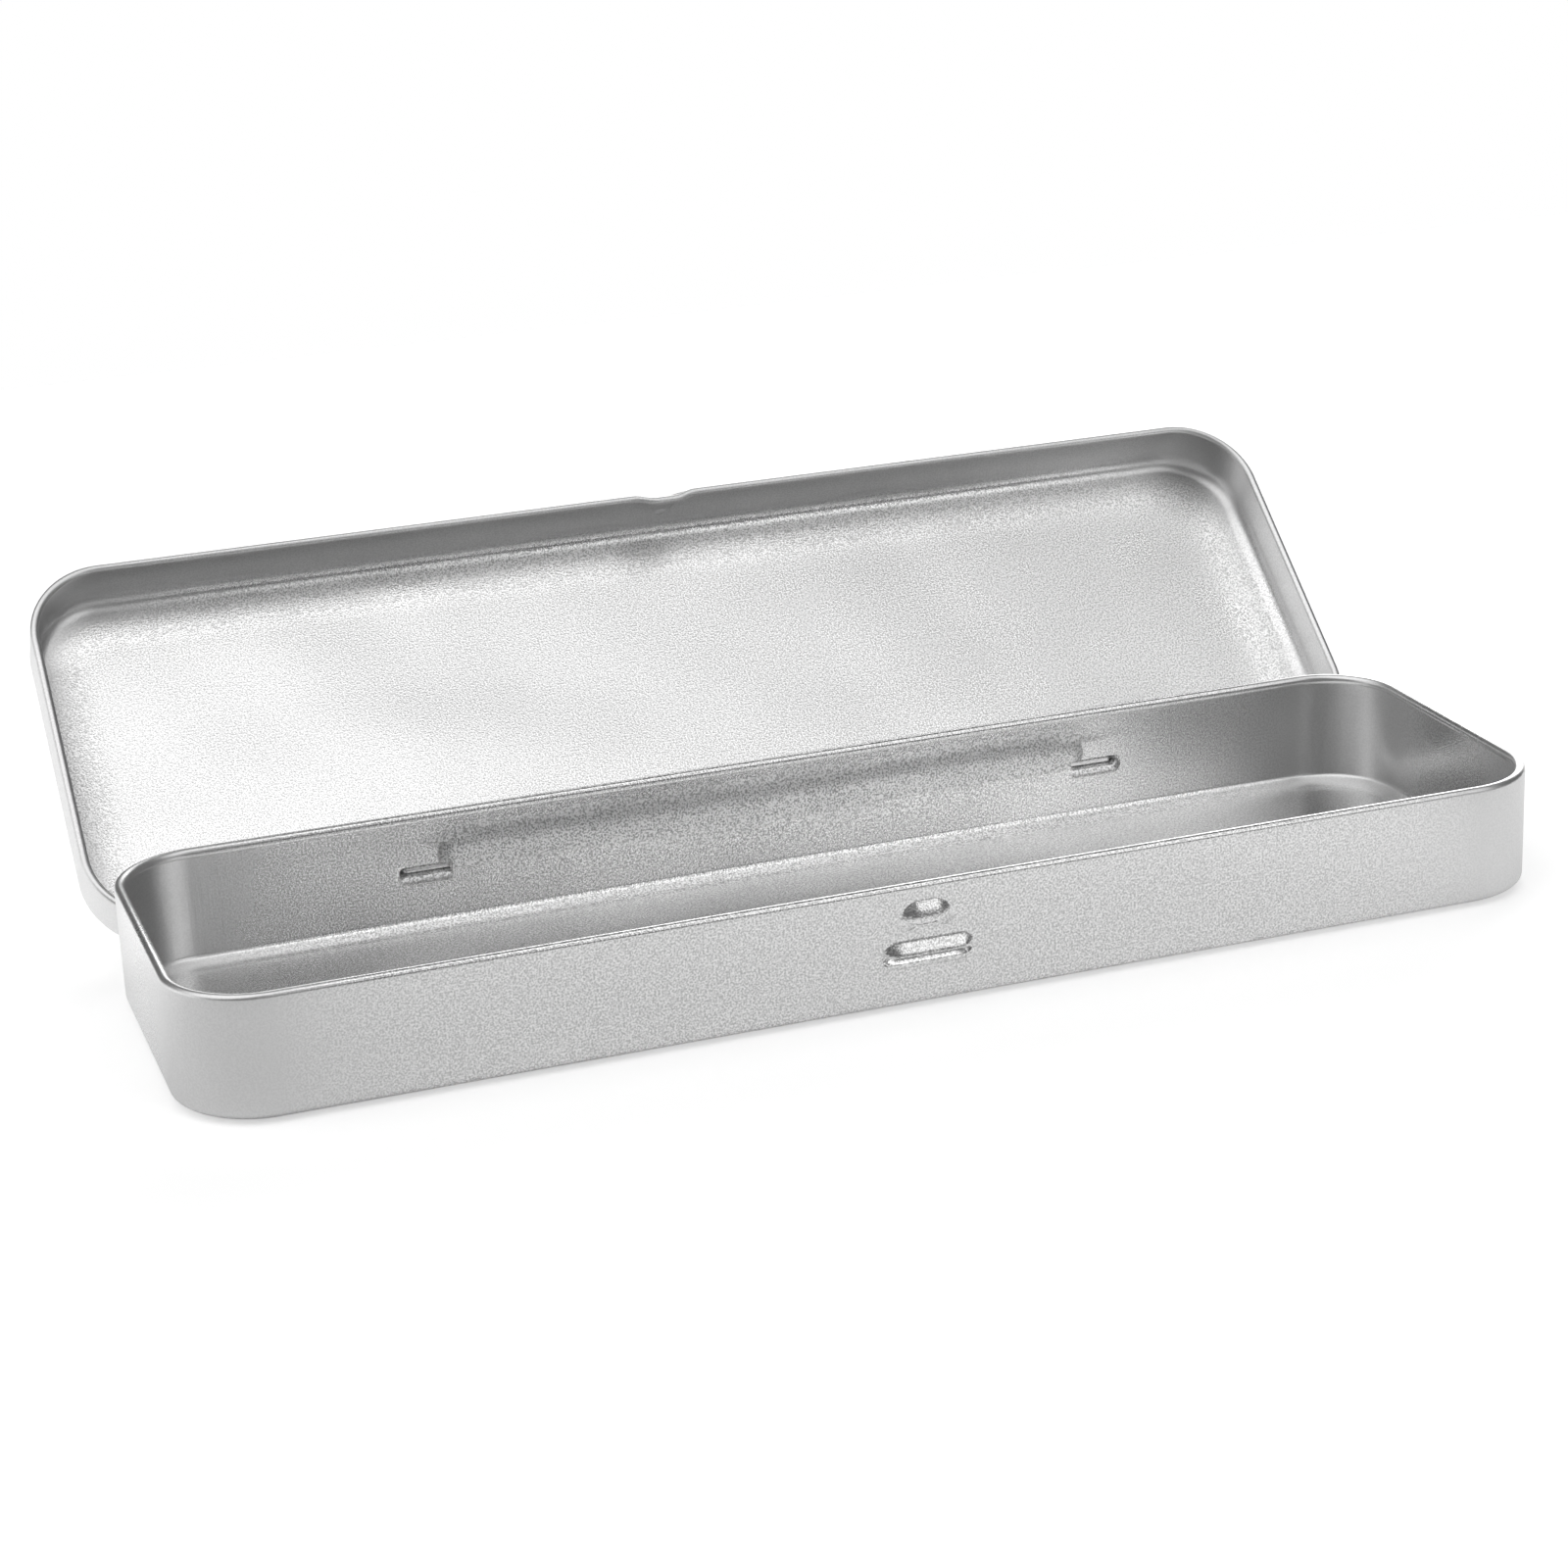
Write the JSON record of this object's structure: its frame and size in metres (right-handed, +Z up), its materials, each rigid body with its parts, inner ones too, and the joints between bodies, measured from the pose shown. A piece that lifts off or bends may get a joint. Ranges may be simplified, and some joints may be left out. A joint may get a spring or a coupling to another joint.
{
  "type": "pencil tin",
  "caption": "Long shallow hinged tin for coloured pencils, round-cornered with rolled rims, a pressed catch boss and finger bar in front, and a drawn lid that folds back behind it.",
  "frame": {"origin": "middle of the tray's flat underside, on the surface that the tin stands on", "axes": "+X along the tin's length, to the right seen from the front; +Y from the front to the hinge; +Z up"},
  "size_m": [0.1898, 0.1076, 0.0445],
  "materials": {
    "tinplate": "matte grained tinplate",
    "hinge_wire": "bright drawn wire"
  },
  "bodies": {
    "tray": {"base_tray": "tinplate"},
    "lid": {"lid": "tinplate", "left_hinge_pin": "hinge_wire", "right_hinge_pin": "hinge_wire"}
  },
  "joints": [
    {"name": "lid_hinge", "type": "hinge", "parent": "tray", "child": "lid", "pos_m": [0, 0.0284, 0.0084], "axis": [1, 0, 0], "range_deg": [0, 139.8]}
  ]
}
